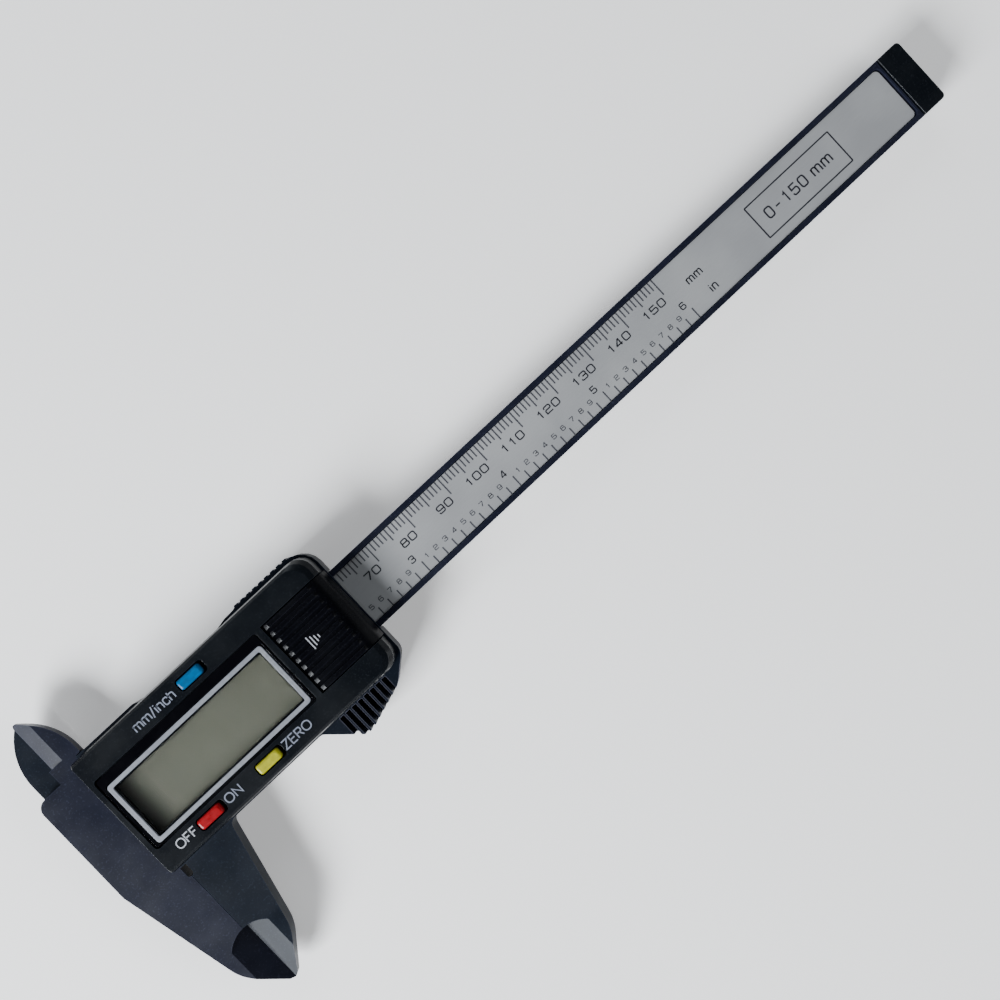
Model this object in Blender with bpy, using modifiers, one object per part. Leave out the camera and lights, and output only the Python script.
"""A 150 mm digital caliper in moulded plastic, as separate pieces that slide and press.

Design coordinates are millimetres. X = 0 is the plane where the outside jaws meet, and +X runs along
the beam to its far end. Y = 0 is the middle of the beam, and +Y points to the inside jaws. Z = 0 is the
back of the slider, where the caliper rests, and +Z points to the display. An empty moves that origin to
the middle of the whole caliper's base.
"""
import math

import bmesh
import bpy

MM = 0.001
WELD = 0.00001
GAP = 0.3
SEGMENTS = 20
FLAT_ANGLE = 0.001

# Beam with the fixed jaws
BEAM_HALF_WIDTH = 7.6
BEAM_BACK = 2.7
BEAM_FRONT = 6.9
BEAM_END_X = 222.1
BEAM_CORNER = 0.9
OVERCUT = 1.0
JAW_CLEARANCE = 0.05
HEAD_LEFT_X = -12.75
HEAD_TOP_Y = 13.0
HEAD_CORNER = 2.2
FLANK_TOP_Y = -12.1
FLANK_CORNER_X = 7.0
FLANK_CORNER_Y = -39.5
FLANK_ROUNDING = 10.0
JAW_TIP_Y = -47.8
JAW_BLUNT_X = 1.0
JAW_BLUNT_Y = -47.3
JAW_TIP_ROUNDING = 0.6
JAW_STEP_Y = -15.35
RELIEF_HALF_WIDTH = 0.75
RELIEF_TOP_Y = -15.4
RELIEF_END_Y = -18.1

# Bevelled tip of the outside jaws
TIP_BEVEL_HALF_WIDTH = 4.95
TIP_BEVEL_ROOT_Z = 4.3
TIP_BEVEL_ARC = 6.8
TIP_BEVEL_CENTRE_Y = -39.6

# Inside jaws: the fixed blade lies in front, the moving blade behind it
BLADE_EDGE_X = -6.2
BLADE_SPLIT_Z = 4.7
BLADE_GAP = 0.15
BLADE_STEP = 0.1
BLADE_BEVEL_WIDTH = 3.5
BLADE_LAND = 0.2
BLADE_ROOT_Y = 16.4
REBATE_Y = 12.4
BLADE_TIP_Y = 28.25
BLADE_SIDE_Y = 22.75
BLADE_SIDE_ROUNDING = 14.0
BLADE_TIP_ROUNDING = 0.6
FIXED_BLADE_NECK_X = -0.1
FIXED_BLADE_SIDE_X = 1.0
FIXED_BLADE_TIP_X = -5.2
MOVING_BLADE_SIDE_X = -11.5
MOVING_BLADE_TIP_Y = 27.65
MOVING_BLADE_ROOT_X = 4.0
MOVING_BLADE_STEP_X = 0.6

# Scale set into the beam
POCKET_HALF_WIDTH = 6.45
POCKET_START_X = 1.0
POCKET_END_X = 215.6
POCKET_FLOOR = 4.6
POCKET_CORNER = 1.1
SCALE_BOARD = (4.9, 5.9)
SCALE_BOARD_HALF_WIDTH = 6.1
SCALE_BOARD_END_X = 214.7
LABEL = (6.2, 6.5)
LABEL_HALF_WIDTH = 6.3
LABEL_START_X = 1.5
LABEL_END_X = 215.2
LABEL_CORNER = 1.0

# End stop and depth rod
STOP_STEP_X = 216.05
STOP_START_X = 216.3
STOP_LOW = 5.9
STOP_TOP = 7.3
STOP_SCREW_X = 219.2
STOP_SCREW_Y = 4.5
STOP_HOLE_RADIUS = 0.9
STOP_THREAD_TOP = 6.9
STOP_SEAT_RADIUS = 1.7
STOP_SEAT_TOP = 3.9
ROD_START_X = 31.0
ROD_END_X = 222.0
ROD_HALF_WIDTH = 1.1
ROD_TOP = 3.6
ROD_GROOVE_TOP = 3.9
ROD_GROOVE_START_X = 3.0
ROD_TANG_LENGTH = 5.0
ROD_TANG_LOW = 1.3

# Slider
SLIDER_START_X = 0.3
SLIDER_END_X = 61.2
FRAME_TOP = 8.4
FRAME_TOP_Y = 14.95
CHANNEL_HALF_WIDTH = 7.9
CHANNEL_TOP = 7.4
BACK_PLATE = (0.0, 2.4)
BACK_PLATE_AREA = (0.9, -14.4, 60.6, 14.2)
BACK_PLATE_CORNER = 3.0
ABOVE_JAW_END_X = 16.0
SPRING_POCKET = (12.0, 6.9, 46.0, 9.1)
SPRING_POCKET_LEVELS = (3.2, 6.4)
THUMB_GRIP = [(38.2, -15.3, 1.5), (44.9, -21.6, 1.0), (47.2, -21.3, 1.0), (56.0, -18.5, 6.0)]
FRAME_LOW_CORNER = (-13.9, 3.0)
FRAME_HIGH_CORNER = (15.5, 4.6)
FRAME_JAW_CORNER = (-15.3, 2.0)
FRAME_DIP = [(42.4, 15.0, 0), (40.0, 14.9, 2), (37.5, 14.4, 2), (16.6, 14.4, 1.5), (15.4, FRAME_TOP_Y, 1.5)]
SERRATION_FIRST_X = 42.95
SERRATION_WIDTH = 1.1
SERRATION_SLOPE = 0.1
SERRATION_LEVELS = (15.2, 15.5)
GRIP_TOOTH_PITCH = 1.61
GRIP_TOOTH_WIDTH = 0.8
GRIP_FIRST_X = 42.25
GRIP_TEETH = 9
GRIP_CREST_WIDTH = 0.5
GRIP_FLOOR = 5.4
GRIP_SLOT_HEIGHT = 6.0
GRIP_SLOT_REACH = (-24.0, -15.4)
SCREW_SPOTS = [(4.5, 11.4), (4.5, -11.4), (52.5, 12.0), (52.5, -12.2)]
SCREW_TIP = 11.0
SCREW_HOLE = 1.0
SCREW_SEAT_RADIUS = 1.8
SCREW_SEAT_DEPTH = 1.4
SCREW_BOSS_RADIUS = 2.1

# Screws: head radius, head levels, shaft radius and tip
LONG_SCREW = (1.5, (0.3, 1.1), 0.7, SCREW_TIP)
SHORT_SCREW = (1.4, (2.9, 3.6), 0.6, 6.6)
SCREW_SLOT_HALF_WIDTH = 0.2
SCREW_SLOT_DEPTH = 0.4

# Leaf spring beside the beam
SPRING_START_X = 13.5
SPRING_LENGTH = 31.0
SPRING_Y = 8.5
SPRING_BOW = 0.25
SPRING_HALF_THICKNESS = 0.12
SPRING_LEVELS = (3.6, 6.0)

# Front cover and display
COVER_LOW = 8.7
COVER_TOP = 13.5
COVER_CEILING = 11.9
COVER_LEVELS = [
    ((0.1, -14.9, 60.7, 14.2), COVER_LOW), ((0.1, -14.8, 60.4, 14.1), 12.2),
    ((0.15, -14.5, 59.5, 13.8), 13.1), ((0.25, -14.0, 58.3, 13.3), COVER_TOP),
]
COVER_CORNERS = (0.4, 3.4)
COVER_CAVITY = (1.4, -13.7, 44.2, 13.0)
CONTACT_PASSAGE = (43.5, -3.2, 45.5, 2.4)
CONTACT_PASSAGE_TOP = 11.6
DISPLAY_RECESS = (1.3, -9.4, 43.6, 8.6)
RECESS_FLOOR = 12.6
WINDOW = (3.7, -7.4, 41.4, 4.9)
BEZEL_OPENING = (2.2, -9.0, 42.9, 6.5)
TRIM_OUTER = (2.5, -8.7, 42.6, 6.2)
TRIM_LINE = 0.9
LCD = (3.2, -8.1, 42.0, 5.6)
BEZEL_LEVELS = (12.9, 13.25)
TRIM_LEVELS = (12.9, 13.4)
LENS_LEVELS = (12.9, 13.15)
LCD_LEVELS = (9.9, 10.9)
CONNECTOR_YS = (("lcd_connector_top", 4.4), ("lcd_connector_bottom", -7.0))
CONNECTOR_X = (5.5, 39.5)
CONNECTOR_HALF_WIDTH = 0.8
CONNECTOR_LEVELS = (8.5, 9.6)

# Electronics
BOARD = (7.2, 8.2)
BOARD_START_X = 2.8
BOARD_END_X = 44.0
BOARD_HALF_WIDTH = 12.9
BOARD_NOTCH = (7.3, 8.6)
CHIP_X = 22.0
CHIP_Y = -1.2
CHIP_PROFILE = [(0.0, 9.5), (2.0, 9.35), (3.4, 8.95), (3.9, 8.5), (0.0, 8.5)]
SWITCH_PROFILE = [(0.0, 9.0), (0.7, 8.9), (1.15, 8.5), (0.0, 8.5)]
BATTERY_X = 52.5
BATTERY_Y = -0.4
BATTERY_RADIUS = 5.75
BATTERY = (7.35, 12.35)
BATTERY_HOLE_RADIUS = 6.15
POSITIVE_CONTACT = [(41.5, 8.5), (46.1, 8.5), (46.1, 11.4), (45.9, 11.6), (45.9, 8.7), (41.5, 8.7)]
POSITIVE_CONTACT_Y = (-2.8, 2.0)
NEGATIVE_CONTACT = (40.5, -1.9, 57.0, 1.1)
NEGATIVE_CONTACT_CORNER = 1.4
NEGATIVE_CONTACT_LEVELS = (6.85, 7.05)

# Battery cover
BAY = (45.0, -9.2, 62.0, 8.6)
DOOR_START_X = 45.2
DOOR_LOW_Y = -9.0
DOOR_HIGH_Y = 8.4
DOOR_UNDERSIDE = 12.65
DOOR_SKIN = 13.12
DOOR_RIBS = 10
DOOR_RIB_PITCH = 1.8
DOOR_RIB_WIDTH = 0.9
DOOR_RIB_START_X = 45.35
DOOR_RIB_END_X = 57.8
DOOR_RIB_SLOPE = 1.0
DOOR_RIB_END_SLOPE = 0.9
DOOR_RIB_ROOT = 0.2
DOOR_SECTION = [
    (DOOR_START_X, DOOR_UNDERSIDE, 0), (DOOR_START_X, DOOR_SKIN, 0), (58.4, DOOR_SKIN, 2.5),
    (60.4, 11.2, 2.0), (61.0, COVER_LOW, 0), (60.1, COVER_LOW, 0), (59.6, 10.9, 1.5),
    (57.9, DOOR_UNDERSIDE, 1.5),
]

# Buttons: name, middle X, middle Y, colour
BUTTONS = [
    ("units_button", 28.7, 10.85, (0.002, 0.18, 0.40)),
    ("power_button", 13.15, -11.65, (0.50, 0.02, 0.02)),
    ("zero_button", 28.5, -11.65, (0.55, 0.50, 0.07)),
]
BUTTON_SIZE = (5.6, 2.2)
BUTTON_TOP = 13.9
BUTTON_FLANGE = (10.8, 11.4)
BUTTON_STEM_END = 9.7
BUTTON_WELL_EXTRA = 0.7
BUTTON_CORNER = 0.5
BUTTON_WELL_CORNER = 0.8
BUTTON_FLANGE_REACH = (0.6, 0.4)
BUTTON_STEM = (1.2, 0.7)
BUTTON_CROWN = [(0.0, 0.5), (0.15, 0.15), (0.5, 0.0)]

ORIGIN = ((HEAD_LEFT_X + BEAM_END_X) / 2, (JAW_TIP_Y + BLADE_TIP_Y) / 2, 0.0)


def start_scene():
    """Empties the scene and makes one collection for the pieces and one for the cutting shapes."""
    for old in list(bpy.data.objects):
        bpy.data.objects.remove(old)
    made = []
    for name in ("digital_caliper", "cutters"):
        group = bpy.data.collections.new(name)
        bpy.context.scene.collection.children.link(group)
        made.append(group)
    return made


def plastic(name, color, roughness=0.5, metallic=0.0):
    """A Principled material."""
    material = bpy.data.materials.new(name)
    material.use_nodes = True
    shader = material.node_tree.nodes["Principled BSDF"]
    shader.inputs["Base Color"].default_value = (*color, 1.0)
    shader.inputs["Roughness"].default_value = roughness
    shader.inputs["Metallic"].default_value = metallic
    return material


def add_object(name, data):
    """A new object among the pieces."""
    obj = bpy.data.objects.new(name, data)
    PIECES.objects.link(obj)
    return obj


def as_mesh(obj):
    """The same object with its curve or its modifiers made into a closed mesh."""
    bpy.context.view_layer.update()
    evaluated = obj.evaluated_get(bpy.context.evaluated_depsgraph_get())
    mesh = bpy.data.meshes.new_from_object(evaluated)
    shape = bmesh.new()
    shape.from_mesh(mesh)
    bmesh.ops.remove_doubles(shape, verts=shape.verts, dist=WELD)
    shape.to_mesh(mesh)
    shape.free()
    placed = obj.matrix_world.copy()
    name = obj.name
    bpy.data.objects.remove(obj)
    solid = add_object(name, mesh)
    solid.name = name
    solid.matrix_world = placed
    return solid


def plate(name, outlines, low, high, along_y=False):
    """A flat solid between two levels. Its outlines lie in XY, or in XZ when it is extruded along Y."""
    curve = bpy.data.curves.new(name, "CURVE")
    curve.dimensions = "2D"
    curve.fill_mode = "BOTH"
    curve.extrude = (high - low) / 2 * MM
    for outline in outlines:
        spline = curve.splines.new("POLY")
        spline.points.add(len(outline) - 1)
        for point, (x, y) in zip(spline.points, outline):
            point.co = (x * MM, y * MM, 0.0, 1.0)
        spline.use_cyclic_u = True
    obj = add_object(name, curve)
    middle = (low + high) / 2 * MM
    if along_y:
        obj.rotation_euler.x = math.pi / 2
        obj.location.y = middle
    else:
        obj.location.z = middle
    return flat_faces(as_mesh(obj))


def flat_faces(obj):
    """Merges the triangles of each flat face into one face."""
    shape = bmesh.new()
    shape.from_mesh(obj.data)
    bmesh.ops.dissolve_limit(shape, angle_limit=FLAT_ANGLE, verts=shape.verts, edges=shape.edges)
    shape.to_mesh(obj.data)
    shape.free()
    return obj


def box(name, low, high):
    """A block between two corners."""
    shape = bmesh.new()
    bmesh.ops.create_cube(shape, size=1.0)
    for vert in shape.verts:
        for axis in range(3):
            share = vert.co[axis] + 0.5
            vert.co[axis] = (low[axis] + share * (high[axis] - low[axis])) * MM
    return from_bmesh(name, shape)


def upright_box(name, area, low, high):
    """A block over an area (x0, y0, x1, y1) between two levels."""
    x0, y0, x1, y1 = area
    return box(name, (x0, y0, low), (x1, y1, high))


def cylinder(name, x, y, radius, low, high, segments=SEGMENTS):
    """An upright cylinder."""
    shape = bmesh.new()
    size = radius * MM
    bmesh.ops.create_cone(
        shape, cap_ends=True, segments=segments, radius1=size, radius2=size, depth=(high - low) * MM)
    bmesh.ops.translate(shape, verts=shape.verts, vec=(x * MM, y * MM, (low + high) / 2 * MM))
    return from_bmesh(name, shape)


def loft(name, sections):
    """A solid through sections of equal point counts, each a list of (x, y) and its height, low to high."""
    shape = bmesh.new()
    rings = [[shape.verts.new((x * MM, y * MM, z * MM)) for x, y in outline] for outline, z in sections]
    for lower, upper in zip(rings, rings[1:]):
        for i in range(len(lower)):
            after = (i + 1) % len(lower)
            shape.faces.new((lower[i], lower[after], upper[after], upper[i]))
    shape.faces.new(list(reversed(rings[0])))
    shape.faces.new(rings[-1])
    return from_bmesh(name, shape)


def turned(name, profile, segments=SEGMENTS):
    """A turned solid. Its profile of (radius, z) runs down the outer side, from the top to the bottom."""
    mesh = bpy.data.meshes.new(name)
    points = [(radius * MM, 0.0, z * MM) for radius, z in profile]
    mesh.from_pydata(points, [(i, i + 1) for i in range(len(points) - 1)], [])
    obj = add_object(name, mesh)
    screw = obj.modifiers.new("Turn", "SCREW")
    screw.steps = segments
    screw.render_steps = segments
    screw.use_merge_vertices = True
    screw.merge_threshold = WELD
    return as_mesh(obj)


def from_bmesh(name, shape):
    """An object from a bmesh, with its faces pointing out."""
    bmesh.ops.recalc_face_normals(shape, faces=shape.faces)
    mesh = bpy.data.meshes.new(name)
    shape.to_mesh(mesh)
    shape.free()
    return add_object(name, mesh)


def use_as_cutter(obj):
    """Moves a shape to the cutters, where it isn't a piece."""
    if obj.name in PIECES.objects:
        PIECES.objects.unlink(obj)
        CUTTERS.objects.link(obj)
    obj.hide_render = True
    obj.display_type = "WIRE"


def combine(obj, other, operation):
    """Adds an exact Boolean to a solid."""
    use_as_cutter(other)
    step = obj.modifiers.new(other.name, "BOOLEAN")
    step.operation = operation
    step.solver = "EXACT"
    step.object = other
    return obj


def cut(obj, *cutters):
    """Takes shapes away from a solid."""
    for cutter in cutters:
        combine(obj, cutter, "DIFFERENCE")
    return obj


def fuse(obj, *others):
    """Joins shapes to a solid as one body."""
    for other in others:
        combine(obj, other, "UNION")
    return obj


def rounded(corners, segments=6):
    """A closed outline of (x, y, radius) corners, each rounded by an arc when its radius isn't 0."""
    outline = []
    for i, (x, y, radius) in enumerate(corners):
        if radius == 0:
            outline.append((x, y))
            continue
        before = corners[i - 1]
        after = corners[(i + 1) % len(corners)]
        outline.extend(corner_arc((x, y), before, after, radius, segments))
    return outline


def corner_arc(corner, before, after, radius, segments):
    """The arc that rounds one corner between its neighbours."""
    x, y = corner
    into = (before[0] - x, before[1] - y)
    out = (after[0] - x, after[1] - y)
    into = tuple(value / math.hypot(*into) for value in into)
    out = tuple(value / math.hypot(*out) for value in out)
    half = math.acos(max(-1.0, min(1.0, into[0] * out[0] + into[1] * out[1]))) / 2
    reach = radius / math.tan(half)
    middle = (into[0] + out[0], into[1] + out[1])
    scale = radius / math.sin(half) / math.hypot(*middle)
    centre = (x + middle[0] * scale, y + middle[1] * scale)
    first = math.atan2(y + into[1] * reach - centre[1], x + into[0] * reach - centre[0])
    last = math.atan2(y + out[1] * reach - centre[1], x + out[0] * reach - centre[0])
    turn = (last - first + math.pi) % (2 * math.pi) - math.pi
    angles = [first + turn * step / segments for step in range(segments + 1)]
    return [(centre[0] + radius * math.cos(a), centre[1] + radius * math.sin(a)) for a in angles]


def rectangle(x0, y0, x1, y1, radius=0.0, segments=4):
    """A rectangle's outline with equal corners."""
    corners = [(x0, y0, radius), (x1, y0, radius), (x1, y1, radius), (x0, y1, radius)]
    return rounded(corners, segments)


def inset(area, distance):
    """A rectangle made smaller on every side."""
    x0, y0, x1, y1 = area
    return (x0 + distance, y0 + distance, x1 - distance, y1 - distance)


def finish(obj, material, smooth=False):
    """Gives a piece its material and its shading."""
    obj.data.materials.clear()
    obj.data.materials.append(material)
    if smooth:
        obj.data.shade_smooth()
        obj.data.set_sharp_from_angle(angle=math.radians(35))
    return obj


def jaw_outline(side):
    """Outside jaw from its root to its tip. The side is -1 for the fixed jaw and 1 for the moving one."""
    face = side * JAW_CLEARANCE
    relief = side * RELIEF_HALF_WIDTH
    flank_x = side * -HEAD_LEFT_X
    return [
        (flank_x, FLANK_TOP_Y, 0),
        (side * FLANK_CORNER_X, FLANK_CORNER_Y, FLANK_ROUNDING),
        (side * JAW_BLUNT_X, JAW_BLUNT_Y, JAW_TIP_ROUNDING),
        (face, JAW_TIP_Y, 0),
        (face, RELIEF_END_Y, 0),
        (relief, RELIEF_END_Y, RELIEF_HALF_WIDTH * 0.9),
        (relief, RELIEF_TOP_Y, 0),
    ]


def tip_groove(name):
    """The V between the outside jaws' tips, which ends in an arc."""
    slope = TIP_BEVEL_HALF_WIDTH / (BEAM_FRONT - TIP_BEVEL_ROOT_Z)
    top = BEAM_FRONT + OVERCUT
    reach = slope * (top - TIP_BEVEL_ROOT_Z)
    vee = [(0, TIP_BEVEL_ROOT_Z), (reach, top), (-reach, top)]
    arc_top = TIP_BEVEL_CENTRE_Y + TIP_BEVEL_ARC
    groove = plate(name, [vee], JAW_TIP_Y - OVERCUT, arc_top + OVERCUT, along_y=True)
    steps = 24
    end = [(TIP_BEVEL_ARC * math.cos(math.pi * i / steps),
            TIP_BEVEL_CENTRE_Y + TIP_BEVEL_ARC * math.sin(math.pi * i / steps)) for i in range(steps + 1)]
    past_tip = JAW_TIP_Y - 2 * OVERCUT
    end += [(-TIP_BEVEL_ARC, past_tip), (TIP_BEVEL_ARC, past_tip)]
    limit = plate(name + "_end", [end], TIP_BEVEL_ROOT_Z - OVERCUT, top + OVERCUT)
    combine(groove, limit, "INTERSECT")
    return as_mesh(groove)


def beam(material):
    """Beam, head, fixed outside jaw and fixed inside blade, moulded in one."""
    outline = [
        (BEAM_END_X, -BEAM_HALF_WIDTH, BEAM_CORNER),
        (BEAM_END_X, BEAM_HALF_WIDTH, BEAM_CORNER),
        (-JAW_CLEARANCE, BEAM_HALF_WIDTH, 0.3),
        (-JAW_CLEARANCE, HEAD_TOP_Y, 0),
        (HEAD_LEFT_X, HEAD_TOP_Y, HEAD_CORNER),
    ]
    outline += jaw_outline(-1)
    outline += [(-JAW_CLEARANCE, RELIEF_TOP_Y, 0), (-JAW_CLEARANCE, -BEAM_HALF_WIDTH, 0.3)]
    solid = plate("beam", [rounded(outline)], BEAM_BACK, BEAM_FRONT)
    fuse(solid, fixed_blade())
    pocket = plate(
        "scale_pocket",
        [rectangle(POCKET_START_X, -POCKET_HALF_WIDTH, POCKET_END_X, POCKET_HALF_WIDTH, POCKET_CORNER)],
        POCKET_FLOOR, BEAM_FRONT + OVERCUT)
    past_side = BEAM_HALF_WIDTH + OVERCUT
    past_end = BEAM_END_X + OVERCUT
    below = BEAM_BACK - OVERCUT
    step = box(
        "stop_step", (STOP_STEP_X, -past_side, STOP_LOW - GAP), (past_end, past_side, BEAM_FRONT + OVERCUT))
    groove = box(
        "rod_groove", (ROD_GROOVE_START_X, -ROD_HALF_WIDTH - GAP, below),
        (past_end, ROD_HALF_WIDTH + GAP, ROD_GROOVE_TOP))
    rebate = box(
        "blade_rebate", (HEAD_LEFT_X - OVERCUT, REBATE_Y, below),
        (JAW_CLEARANCE, HEAD_TOP_Y + OVERCUT, BLADE_SPLIT_Z + BLADE_GAP))
    cut(solid, tip_groove("fixed_tip_groove"), pocket, step, groove, rebate)
    for side in (-1, 1):
        place = (STOP_SCREW_X, side * STOP_SCREW_Y)
        hole = cylinder("stop_hole", *place, STOP_HOLE_RADIUS, below, BEAM_FRONT)
        seat = cylinder("stop_counterbore", *place, STOP_SEAT_RADIUS, below, STOP_SEAT_TOP)
        cut(solid, hole, seat)
    return finish(solid, material)


def fixed_blade():
    """Front inside blade, whose bevelled measuring edge faces away from the display."""
    low = BLADE_SPLIT_Z + BLADE_GAP
    neck_y = FRAME_TOP_Y + GAP
    outline = rounded([
        (FIXED_BLADE_NECK_X, HEAD_TOP_Y - OVERCUT, 0),
        (FIXED_BLADE_NECK_X, neck_y, 0),
        (FIXED_BLADE_SIDE_X, neck_y, 0.3),
        (FIXED_BLADE_SIDE_X, BLADE_SIDE_Y, BLADE_SIDE_ROUNDING),
        (FIXED_BLADE_TIP_X, BLADE_TIP_Y, BLADE_TIP_ROUNDING),
        (BLADE_EDGE_X, BLADE_TIP_Y, BLADE_TIP_ROUNDING),
        (BLADE_EDGE_X, HEAD_TOP_Y - OVERCUT, 0),
    ], 8)
    high = BEAM_FRONT - BLADE_STEP
    blade = plate("fixed_blade", [outline], low, high)
    slope = (high - low - BLADE_LAND) / BLADE_BEVEL_WIDTH
    edge = low + BLADE_LAND
    bevel = [
        (BLADE_EDGE_X - OVERCUT, edge - slope * OVERCUT),
        (BLADE_EDGE_X + BLADE_BEVEL_WIDTH + OVERCUT, high + slope * OVERCUT),
        (BLADE_EDGE_X - OVERCUT, high + slope * OVERCUT),
    ]
    cut(blade, plate("fixed_blade_bevel", [bevel], BLADE_ROOT_Y, BLADE_TIP_Y + OVERCUT, along_y=True))
    return as_mesh(blade)


def moving_blade():
    """Rear inside blade with its root strip, which runs in a rebate behind the head and the fixed blade."""
    low_y = REBATE_Y + GAP
    outline = rounded([
        (MOVING_BLADE_ROOT_X, low_y, 0),
        (MOVING_BLADE_ROOT_X, FRAME_TOP_Y - 0.35, 0),
        (MOVING_BLADE_STEP_X, FRAME_TOP_Y - 0.05, 0),
        (-MOVING_BLADE_STEP_X, BLADE_ROOT_Y, 0),
        (BLADE_EDGE_X, BLADE_ROOT_Y, 0),
        (BLADE_EDGE_X, MOVING_BLADE_TIP_Y, 0),
        (MOVING_BLADE_SIDE_X, BLADE_SIDE_Y, BLADE_SIDE_ROUNDING),
        (MOVING_BLADE_SIDE_X, low_y, 0),
    ], 8)
    low = BEAM_BACK + BLADE_STEP
    blade = plate("moving_blade", [outline], low, BLADE_SPLIT_Z)
    slope = (BLADE_SPLIT_Z - BLADE_LAND - low) / BLADE_BEVEL_WIDTH
    bevel = [
        (BLADE_EDGE_X - BLADE_BEVEL_WIDTH - OVERCUT, low - slope * OVERCUT),
        (BLADE_EDGE_X + OVERCUT, low - slope * OVERCUT),
        (BLADE_EDGE_X + OVERCUT, BLADE_SPLIT_Z - BLADE_LAND + slope * OVERCUT),
    ]
    cut(blade, plate("moving_blade_bevel", [bevel], BLADE_ROOT_Y + GAP, BLADE_TIP_Y + OVERCUT, along_y=True))
    return as_mesh(blade)


def scale_pieces(board_material, label_material):
    """Sensor strip and printed label in the beam's pocket."""
    low, high = SCALE_BOARD
    board = box(
        "scale_board", (LABEL_START_X, -SCALE_BOARD_HALF_WIDTH, low),
        (SCALE_BOARD_END_X, SCALE_BOARD_HALF_WIDTH, high))
    area = rectangle(LABEL_START_X, -LABEL_HALF_WIDTH, LABEL_END_X, LABEL_HALF_WIDTH, LABEL_CORNER)
    label = plate("scale_label", [area], *LABEL)
    return finish(board, board_material), finish(label, label_material)


def end_stop(material):
    """Cap that closes the beam's far end and stops the slider."""
    corners = [
        (STOP_START_X, -BEAM_HALF_WIDTH, 0),
        (BEAM_END_X, -BEAM_HALF_WIDTH, BEAM_CORNER),
        (BEAM_END_X, BEAM_HALF_WIDTH, BEAM_CORNER),
        (STOP_START_X, BEAM_HALF_WIDTH, 0),
    ]
    cap = plate("end_stop", [rounded(corners)], STOP_LOW, STOP_TOP)
    for side in (-1, 1):
        place = (STOP_SCREW_X, side * STOP_SCREW_Y)
        cut(cap, cylinder("stop_thread", *place, STOP_HOLE_RADIUS, STOP_LOW - OVERCUT, STOP_THREAD_TOP))
    return finish(cap, material)


def depth_rod(material):
    """Flat rod in the groove behind the beam, with a tang that the back plate holds."""
    rod = box("depth_rod", (ROD_START_X, -ROD_HALF_WIDTH, BEAM_BACK), (ROD_END_X, ROD_HALF_WIDTH, ROD_TOP))
    tang = box(
        "rod_tang", (ROD_START_X, -ROD_HALF_WIDTH, ROD_TANG_LOW),
        (ROD_START_X + ROD_TANG_LENGTH, ROD_HALF_WIDTH, (BEAM_BACK + ROD_TOP) / 2))
    return finish(fuse(rod, tang), material)


def frame_outline():
    """Slider frame seen from the front, with the thumb grip below and the small serrations above."""
    right = [(SLIDER_END_X, *FRAME_LOW_CORNER), (SLIDER_END_X, *FRAME_HIGH_CORNER)]
    root, crest = SERRATION_LEVELS
    teeth = []
    for i in reversed(range(GRIP_TEETH)):
        start = SERRATION_FIRST_X + i * GRIP_TOOTH_PITCH
        end = start + SERRATION_WIDTH
        teeth += [(end, root, 0), (end - SERRATION_SLOPE, crest, 0)]
        teeth += [(start + SERRATION_SLOPE, crest, 0), (start, root, 0)]
    left = [(SLIDER_START_X, FRAME_TOP_Y, 0.3), (SLIDER_START_X, RELIEF_TOP_Y, 0)]
    jaw = [*reversed(jaw_outline(1)[1:]), (-HEAD_LEFT_X, *FRAME_JAW_CORNER)]
    return rounded(left + jaw + THUMB_GRIP + right + teeth + FRAME_DIP, segments=5)


def slider_frame(material):
    """Body of the slider around the beam, with the moving jaws and the thumb grip."""
    frame = plate("slider_frame", [frame_outline()], BEAM_BACK, FRAME_TOP)
    fuse(frame, moving_blade())
    below = BEAM_BACK - OVERCUT
    above = FRAME_TOP + OVERCUT
    above_jaw = box(
        "above_jaw", (BLADE_EDGE_X, JAW_TIP_Y - OVERCUT, BEAM_FRONT), (ABOVE_JAW_END_X, JAW_STEP_Y, above))
    channel = box(
        "beam_channel", (BLADE_EDGE_X, -CHANNEL_HALF_WIDTH, below),
        (SLIDER_END_X + OVERCUT, CHANNEL_HALF_WIDTH, CHANNEL_TOP))
    board_pocket = box(
        "board_pocket", (BOARD_START_X - GAP, -BOARD_HALF_WIDTH - GAP, BEAM_FRONT),
        (BOARD_END_X + GAP, BOARD_HALF_WIDTH + GAP, above))
    battery_hole = cylinder("battery_hole", BATTERY_X, BATTERY_Y, BATTERY_HOLE_RADIUS, BEAM_FRONT, above)
    spring_pocket = upright_box("spring_pocket", SPRING_POCKET, *SPRING_POCKET_LEVELS)
    cut(frame, above_jaw, channel, board_pocket, battery_hole, spring_pocket, grip_slots())
    cut(frame, tip_groove("moving_tip_groove"))
    for x, y in SCREW_SPOTS:
        cut(frame, cylinder("frame_hole", x, y, SCREW_HOLE, below, above))
    return finish(frame, material)


def grip_slots():
    """The slots between the thumb grip's teeth, as one cutting shape."""
    shape = bmesh.new()
    low_y, high_y = GRIP_SLOT_REACH
    slope = (GRIP_TOOTH_WIDTH - GRIP_CREST_WIDTH) / 2 / (FRAME_TOP - GRIP_FLOOR)
    for i in range(GRIP_TEETH - 1):
        start = GRIP_FIRST_X + GRIP_TOOTH_WIDTH + i * GRIP_TOOTH_PITCH
        width = GRIP_TOOTH_PITCH - GRIP_TOOTH_WIDTH
        made = bmesh.ops.create_cube(shape, size=1.0)["verts"]
        for vert in made:
            rise = (vert.co.z + 0.5) * GRIP_SLOT_HEIGHT
            flare = rise * slope * (1 if vert.co.x > 0 else -1)
            vert.co.x = (start + (vert.co.x + 0.5) * width + flare) * MM
            vert.co.y = (low_y + (vert.co.y + 0.5) * (high_y - low_y)) * MM
            vert.co.z = (GRIP_FLOOR + rise) * MM
    return from_bmesh("grip_slots", shape)


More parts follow.
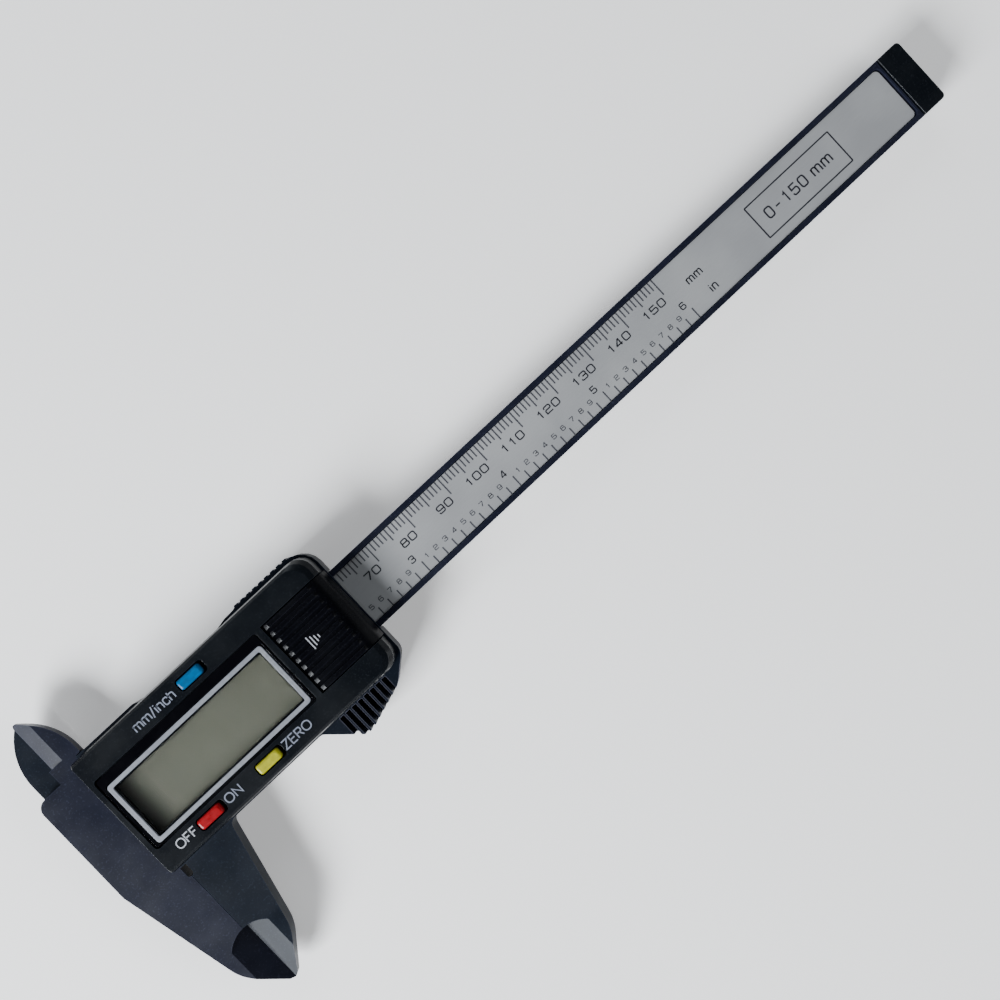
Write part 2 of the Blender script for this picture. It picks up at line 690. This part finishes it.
def back_plate(material):
    """Plate behind the beam, on which the caliper rests."""
    solid = plate("back_plate", [rectangle(*BACK_PLATE_AREA, BACK_PLATE_CORNER)], *BACK_PLATE)
    below = BACK_PLATE[0] - OVERCUT
    above = BACK_PLATE[1] + OVERCUT
    for x, y in SCREW_SPOTS:
        hole = cylinder("plate_hole", x, y, SCREW_HOLE, below, above)
        seat = cylinder("head_seat", x, y, SCREW_SEAT_RADIUS, below, SCREW_SEAT_DEPTH)
        cut(solid, hole, seat)
    slot = box(
        "rod_slot", (ROD_START_X - GAP, -ROD_HALF_WIDTH - GAP, ROD_TANG_LOW - GAP),
        (ROD_START_X + ROD_TANG_LENGTH + GAP, ROD_HALF_WIDTH + GAP, above))
    cut(solid, slot)
    return finish(solid, material)


def screw_mesh(name, sizes):
    """A small cross-head screw that points up, made once for all its copies."""
    head_radius, (low, high), shaft_radius, tip = sizes
    profile = [
        (0.0, tip), (shaft_radius * 0.5, tip), (shaft_radius, tip - 0.5), (shaft_radius, high),
        (head_radius, high), (head_radius, low + 0.2), (head_radius - 0.3, low), (0.0, low),
    ]
    screw = turned(name, profile)
    arm = head_radius * 0.6
    for i, (x, y) in enumerate([(arm, SCREW_SLOT_HALF_WIDTH), (SCREW_SLOT_HALF_WIDTH, arm)]):
        cut(screw, box(f"{name}_slot_{i}", (-x, -y, low - OVERCUT), (x, y, low + SCREW_SLOT_DEPTH)))
    made = as_mesh(screw)
    mesh = made.data
    bpy.data.objects.remove(made)
    return mesh


def screws(material):
    """Back screws and end stop screws, each copy its own piece."""
    long_screw = screw_mesh("long_screw", LONG_SCREW)
    made = []
    for i, (x, y) in enumerate(SCREW_SPOTS):
        made.append(place_copy(f"back_screw_{i + 1}", long_screw, x, y))
    short_screw = screw_mesh("short_screw", SHORT_SCREW)
    for i, side in enumerate((1, -1)):
        made.append(place_copy(f"end_stop_screw_{i + 1}", short_screw, STOP_SCREW_X, side * STOP_SCREW_Y))
    for obj in made:
        finish(obj, material, smooth=True)
    return made


def place_copy(name, mesh, x, y):
    """A copy of a shared mesh at its own place."""
    obj = add_object(name, mesh)
    obj.location = (x * MM, y * MM, 0.0)
    return obj


def gib_spring(material):
    """Bowed leaf that presses the beam to one side of the slider's channel."""
    steps = 12
    centre = []
    for i in range(steps + 1):
        bow = SPRING_BOW * math.sin(math.pi * i / steps)
        centre.append((SPRING_START_X + SPRING_LENGTH * i / steps, SPRING_Y - bow))
    upper = [(x, y + SPRING_HALF_THICKNESS) for x, y in centre]
    lower = [(x, y - SPRING_HALF_THICKNESS) for x, y in reversed(centre)]
    return finish(plate("gib_spring", [upper + lower], *SPRING_LEVELS), material, smooth=True)


def cover_section(area, height):
    """One level of the front cover, with small corners towards the jaws and large ones behind."""
    x0, y0, x1, y1 = area
    small, large = COVER_CORNERS
    corners = [(x0, y0, small), (x1, y0, large), (x1, y1, large), (x0, y1, small)]
    return rounded(corners, 5), height


def front_cover(material):
    """Shell over the electronics, with the display recess, the button wells and the battery bay."""
    below = COVER_LOW - OVERCUT
    above = COVER_TOP + OVERCUT
    inside = COVER_CEILING - OVERCUT
    solid = loft("front_cover", [cover_section(area, height) for area, height in COVER_LEVELS])
    cavity = upright_box("cover_cavity", COVER_CAVITY, below, COVER_CEILING)
    for i, (x, y) in enumerate(SCREW_SPOTS[:2]):
        boss = cylinder(f"boss_{i}", x, y, SCREW_BOSS_RADIUS, below - OVERCUT, COVER_CEILING + OVERCUT)
        combine(cavity, boss, "DIFFERENCE")
    bay = upright_box("battery_bay", BAY, below, above)
    recess = plate("display_recess", [rectangle(*DISPLAY_RECESS, 0.8)], RECESS_FLOOR, above)
    window = plate("display_window", [rectangle(*WINDOW, 0.5)], inside, RECESS_FLOOR + OVERCUT)
    passage = upright_box("contact_passage", CONTACT_PASSAGE, below, CONTACT_PASSAGE_TOP)
    cut(solid, as_mesh(cavity), bay, recess, window, passage)
    for name, x, y, _ in BUTTONS:
        reach_x = BUTTON_SIZE[0] / 2 + GAP
        reach_y = BUTTON_SIZE[1] / 2 + GAP
        end_x = x + reach_x + BUTTON_WELL_EXTRA
        area = rectangle(x - reach_x, y - reach_y, end_x, y + reach_y, BUTTON_WELL_CORNER)
        cut(solid, plate(f"{name}_well", [area], inside, above))
    for x, y in SCREW_SPOTS:
        cut(solid, cylinder("cover_thread", x, y, SCREW_HOLE, below, SCREW_TIP + GAP))
    return finish(solid, material)


def display_pieces(mask, silver, clear, lcd_material):
    """Glossy mask, silver trim line, clear lens and liquid crystal panel."""
    recess = inset(DISPLAY_RECESS, GAP)
    bezel = plate("display_bezel", [rectangle(*recess, 0.6), rectangle(*BEZEL_OPENING, 0.8)], *BEZEL_LEVELS)
    line = rectangle(*inset(TRIM_OUTER, TRIM_LINE), 0.4)
    trim = plate("display_trim", [rectangle(*TRIM_OUTER, 0.7), line], *TRIM_LEVELS)
    lens = plate("display_lens", [rectangle(*inset(TRIM_OUTER, TRIM_LINE + GAP), 0.3)], *LENS_LEVELS)
    panel = upright_box("lcd_panel", LCD, *LCD_LEVELS)
    return [
        finish(bezel, mask), finish(trim, silver), finish(lens, clear), finish(panel, lcd_material),
    ]


def lcd_connectors(material):
    """Two rubber strips that connect the panel to the board."""
    x0, x1 = CONNECTOR_X
    made = []
    for name, y in CONNECTOR_YS:
        area = (x0, y - CONNECTOR_HALF_WIDTH, x1, y + CONNECTOR_HALF_WIDTH)
        made.append(finish(upright_box(name, area, *CONNECTOR_LEVELS), material))
    return made


def main_board(material):
    """Circuit board with the corners cut away for the left screws."""
    notch_x, notch_y = BOARD_NOTCH
    outline = [
        (BOARD_START_X, -notch_y), (notch_x, -notch_y), (notch_x, -BOARD_HALF_WIDTH),
        (BOARD_END_X, -BOARD_HALF_WIDTH), (BOARD_END_X, BOARD_HALF_WIDTH),
        (notch_x, BOARD_HALF_WIDTH), (notch_x, notch_y), (BOARD_START_X, notch_y),
    ]
    return finish(plate("main_board", [outline], *BOARD), material)


def controller_blob(material):
    """Resin cap over the bare chip."""
    chip = turned("controller_chip", CHIP_PROFILE, 24)
    chip.location = (CHIP_X * MM, CHIP_Y * MM, 0.0)
    return finish(chip, material, smooth=True)


def battery_pieces(steel, spring_steel):
    """Button cell with its two contacts."""
    low, high = BATTERY
    cell = turned("battery_cell", [
        (0.0, high), (5.3, high), (BATTERY_RADIUS, high - 0.4), (BATTERY_RADIUS, low + 0.7),
        (4.9, low + 0.5), (4.7, low), (0.0, low),
    ], 40)
    cell.location = (BATTERY_X * MM, BATTERY_Y * MM, 0.0)
    positive = plate("positive_contact", [POSITIVE_CONTACT], *POSITIVE_CONTACT_Y, along_y=True)
    strip = rectangle(*NEGATIVE_CONTACT, NEGATIVE_CONTACT_CORNER)
    negative = plate("negative_contact", [strip], *NEGATIVE_CONTACT_LEVELS)
    return finish(cell, steel, smooth=True), finish(positive, spring_steel), finish(negative, spring_steel)


def switch_pads(material):
    """Snap dome under each button."""
    made = []
    for name, x, y, _ in BUTTONS:
        dome = turned(name.replace("button", "switch"), SWITCH_PROFILE, 16)
        dome.location = (x * MM, y * MM, 0.0)
        made.append(finish(dome, material, smooth=True))
    return made


def buttons():
    """Three coloured keys with a retaining flange and a stem."""
    made = []
    for name, x, y, color in BUTTONS:
        half_x, half_y = BUTTON_SIZE[0] / 2, BUTTON_SIZE[1] / 2
        low, high = BUTTON_FLANGE
        middle = (low + high) / 2
        face = (-half_x, -half_y, half_x, half_y)
        sections = [(rectangle(*face, BUTTON_CORNER), middle)]
        for narrowing, drop in BUTTON_CROWN:
            sections.append((rectangle(*inset(face, narrowing), BUTTON_CORNER), BUTTON_TOP - drop))
        key = loft(name, sections)
        reach_x, reach_y = BUTTON_FLANGE_REACH
        area = (-half_x - reach_x, -half_y - reach_y, half_x + reach_x, half_y + reach_y)
        flange = upright_box(f"{name}_flange", area, low, high)
        stem_x, stem_y = BUTTON_STEM
        stem = upright_box(f"{name}_stem", (-stem_x, -stem_y, stem_x, stem_y), BUTTON_STEM_END, middle)
        fuse(key, flange, stem)
        key = as_mesh(key)
        key.location = (x * MM, y * MM, 0.0)
        made.append(finish(key, plastic(name, color, 0.35)))
    return made


def battery_cover(material):
    """Ribbed sliding cover, which curves down over the end of the slider."""
    shell = plate("battery_cover", [rounded(DOOR_SECTION)], DOOR_LOW_Y, DOOR_HIGH_Y, along_y=True)
    middle = (DOOR_LOW_Y + DOOR_HIGH_Y) / 2
    root = DOOR_SKIN - DOOR_RIB_ROOT
    for i in range(DOOR_RIBS):
        y = middle + (i - (DOOR_RIBS - 1) / 2) * DOOR_RIB_PITCH
        profile = [
            (DOOR_RIB_START_X, root), (DOOR_RIB_END_X, root),
            (DOOR_RIB_END_X - DOOR_RIB_END_SLOPE, COVER_TOP),
            (DOOR_RIB_START_X + DOOR_RIB_SLOPE, COVER_TOP), (DOOR_RIB_START_X, DOOR_SKIN),
        ]
        rib = plate(f"door_rib_{i}", [profile], y - DOOR_RIB_WIDTH / 2, y + DOOR_RIB_WIDTH / 2, along_y=True)
        fuse(shell, rib)
    return finish(shell, material)


def build():
    """Makes every piece and hangs it from one empty at the middle of the base."""
    slate = plastic("slate_plastic", (0.03, 0.04, 0.055), 0.5)
    jaw_grey = plastic("beam_plastic", (0.045, 0.05, 0.065), 0.5)
    black = plastic("cover_plastic", (0.010, 0.013, 0.017), 0.45)
    gloss = plastic("gloss_black", (0.003, 0.003, 0.005), 0.12)
    silver = plastic("silver_print", (0.6, 0.61, 0.63), 0.3, 0.6)
    clear = plastic("clear_acrylic", (0.8, 0.82, 0.8), 0.05)
    lcd = plastic("lcd_glass", (0.17, 0.17, 0.13), 0.3)
    board = plastic("circuit_board", (0.02, 0.16, 0.07), 0.5)
    label = plastic("scale_print", (0.40, 0.40, 0.41), 0.45)
    steel = plastic("bright_steel", (0.6, 0.6, 0.6), 0.3, 1.0)
    spring = plastic("spring_steel", (0.65, 0.6, 0.5), 0.35, 1.0)
    rubber = plastic("dark_rubber", (0.02, 0.02, 0.02), 0.8)
    beam(jaw_grey)
    scale_pieces(board, label)
    end_stop(black)
    depth_rod(steel)
    slider_frame(slate)
    back_plate(black)
    screws(steel)
    gib_spring(spring)
    front_cover(black)
    display_pieces(gloss, silver, clear, lcd)
    lcd_connectors(rubber)
    main_board(board)
    controller_blob(rubber)
    battery_pieces(steel, spring)
    switch_pads(spring)
    buttons()
    battery_cover(black)
    origin = bpy.data.objects.new("caliper_origin", None)
    PIECES.objects.link(origin)
    for group in (PIECES, CUTTERS):
        for obj in group.objects:
            if obj is not origin:
                obj.parent = origin
    origin.location = tuple(-value * MM for value in ORIGIN)


PIECES, CUTTERS = start_scene()
build()
